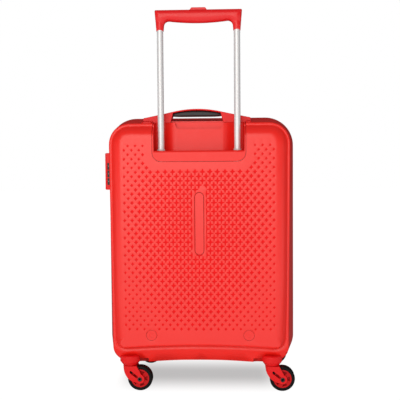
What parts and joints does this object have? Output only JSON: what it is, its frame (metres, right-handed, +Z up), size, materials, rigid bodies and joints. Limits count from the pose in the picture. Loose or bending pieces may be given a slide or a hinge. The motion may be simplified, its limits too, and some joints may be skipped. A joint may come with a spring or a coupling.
{
  "type": "hard shell suitcase",
  "caption": "Hard shell cabin suitcase on spinner casters with a telescopic pull handle, carry handle, zip rim, combination lock and a half that swings open.",
  "frame": {"origin": "on the floor under the middle of the case, in the parting plane of its two halves", "axes": "+Z up, -Y towards the back face with the pull handle, +X to the hinge side, right in the picture"},
  "size_m": [0.3779, 0.24, 0.7313],
  "materials": {
    "shell_red": "satin moulded polypropylene",
    "trim_red": "satin moulded plastic",
    "tube_silver": "anodised",
    "steel": "plain steel",
    "black_plastic": "moulded",
    "soft_grip": "soft touch",
    "tyre_black": "matt polyurethane",
    "zip_tape": "woven polyester",
    "lining_cloth": "woven polyester",
    "strap_web": "elastic webbing",
    "collar_grey": "moulded"
  },
  "bodies": {
    "back_half": {"back_shell": "shell_red", "handle_tray": "shell_red", "centre_plate": "shell_red", "foot_screw_caps": "shell_red", "foot_screws": "steel", "tube_feet": "black_plastic", "outer_tubes": "tube_silver", "carry_handle": "trim_red", "carry_grip": "soft_grip", "carry_backing": "black_plastic", "lock_housing": "trim_red", "dial_axle": "steel", "back_zip_tape": "zip_tape", "hinge_tape": "zip_tape", "zip_sliders": "steel", "back_lining": "lining_cloth", "packing_straps": "strap_web", "strap_buckle": "black_plastic", "back_caster_housings": "trim_red", "back_swivel_pins": "steel"},
    "front_half": {"front_shell": "shell_red", "front_zip_tape": "zip_tape", "front_lining": "lining_cloth", "front_caster_housings": "trim_red", "front_swivel_pins": "steel"},
    "handle_stage": {"stage_tubes": "tube_silver", "stage_collars": "collar_grey"},
    "pull_handle": {"inner_tubes": "tube_silver", "tube_plugs": "black_plastic", "pull_grip": "trim_red"},
    "push_button": {"release_button": "trim_red", "push_rods": "steel"},
    "lock_dial_1": {"lock_dial_1": "black_plastic"},
    "lock_dial_2": {"lock_dial_2": "black_plastic"},
    "lock_dial_3": {"lock_dial_3": "black_plastic"},
    "lock_button": {"lock_button": "trim_red"},
    "zip_pull_lower": {"zip_pull_lower": "trim_red"},
    "zip_pull_upper": {"zip_pull_upper": "trim_red"},
    "fork_back_left": {"caster_fork_back_left": "trim_red", "caster_axle_back_left": "steel"},
    "wheel_back_left": {"wheel_hub_back_left": "trim_red", "tyre_back_left": "tyre_black"},
    "fork_back_right": {"caster_fork_back_right": "trim_red", "caster_axle_back_right": "steel"},
    "wheel_back_right": {"wheel_hub_back_right": "trim_red", "tyre_back_right": "tyre_black"},
    "fork_front_left": {"caster_fork_front_left": "trim_red", "caster_axle_front_left": "steel"},
    "wheel_front_left": {"wheel_hub_front_left": "trim_red", "tyre_front_left": "tyre_black"},
    "fork_front_right": {"caster_fork_front_right": "trim_red", "caster_axle_front_right": "steel"},
    "wheel_front_right": {"wheel_hub_front_right": "trim_red", "tyre_front_right": "tyre_black"}
  },
  "joints": [
    {"name": "lid_hinge", "type": "hinge", "parent": "back_half", "child": "front_half", "pos_m": [0.1865, 0, 0.29], "axis": [0, 0, -1], "range_deg": [0, 180], "deforming": ["hinge_tape"]},
    {"name": "stage_slide", "type": "slide", "parent": "back_half", "child": "handle_stage", "axis": [0, 0, 1], "range_m": [0, 0.22]},
    {"name": "handle_slide", "type": "slide", "parent": "handle_stage", "child": "pull_handle", "axis": [0, 0, 1], "range_m": [-0.22, 0]},
    {"name": "button_press", "type": "slide", "parent": "pull_handle", "child": "push_button", "axis": [0, 0, -1], "range_m": [0, 0.004], "stiffness_N_per_m": 400, "springref_m": -0.004},
    {"name": "lock_press", "type": "slide", "parent": "back_half", "child": "lock_button", "axis": [1, 0, 0], "range_m": [0, 0.002], "stiffness_N_per_m": 400, "springref_m": -0.003},
    {"name": "dial_1_turn", "type": "hinge", "parent": "back_half", "child": "lock_dial_1", "pos_m": [-0.1835, -0.0295, 0.404], "axis": [0, 0, 1], "continuous": true},
    {"name": "dial_2_turn", "type": "hinge", "parent": "back_half", "child": "lock_dial_2", "pos_m": [-0.1835, -0.0295, 0.4192], "axis": [0, 0, 1], "continuous": true},
    {"name": "dial_3_turn", "type": "hinge", "parent": "back_half", "child": "lock_dial_3", "pos_m": [-0.1835, -0.0295, 0.4344], "axis": [0, 0, 1], "continuous": true},
    {"name": "zip_pull_lower_swing", "type": "hinge", "parent": "back_half", "child": "zip_pull_lower", "pos_m": [-0.1884, 0, 0.394], "axis": [0, -1, 0], "range_deg": [0, 100]},
    {"name": "zip_pull_upper_swing", "type": "hinge", "parent": "back_half", "child": "zip_pull_upper", "pos_m": [-0.1884, 0, 0.455], "axis": [0, 1, 0], "range_deg": [0, 100]},
    {"name": "swivel_back_left", "type": "hinge", "parent": "back_half", "child": "fork_back_left", "pos_m": [-0.1372, -0.093, 0.0495], "axis": [0, 0, 1], "continuous": true},
    {"name": "roll_back_left", "type": "hinge", "parent": "fork_back_left", "child": "wheel_back_left", "pos_m": [-0.1177, -0.093, 0.024], "axis": [0, 1, 0], "continuous": true},
    {"name": "swivel_back_right", "type": "hinge", "parent": "back_half", "child": "fork_back_right", "pos_m": [0.1372, -0.093, 0.0495], "axis": [0, 0, 1], "continuous": true},
    {"name": "roll_back_right", "type": "hinge", "parent": "fork_back_right", "child": "wheel_back_right", "pos_m": [0.1567, -0.093, 0.024], "axis": [0, 1, 0], "continuous": true},
    {"name": "swivel_front_left", "type": "hinge", "parent": "front_half", "child": "fork_front_left", "pos_m": [-0.1372, 0.093, 0.0495], "axis": [0, 0, 1], "continuous": true},
    {"name": "roll_front_left", "type": "hinge", "parent": "fork_front_left", "child": "wheel_front_left", "pos_m": [-0.1177, 0.093, 0.024], "axis": [0, 1, 0], "continuous": true},
    {"name": "swivel_front_right", "type": "hinge", "parent": "front_half", "child": "fork_front_right", "pos_m": [0.1372, 0.093, 0.0495], "axis": [0, 0, 1], "continuous": true},
    {"name": "roll_front_right", "type": "hinge", "parent": "fork_front_right", "child": "wheel_front_right", "pos_m": [0.1567, 0.093, 0.024], "axis": [0, 1, 0], "continuous": true}
  ]
}
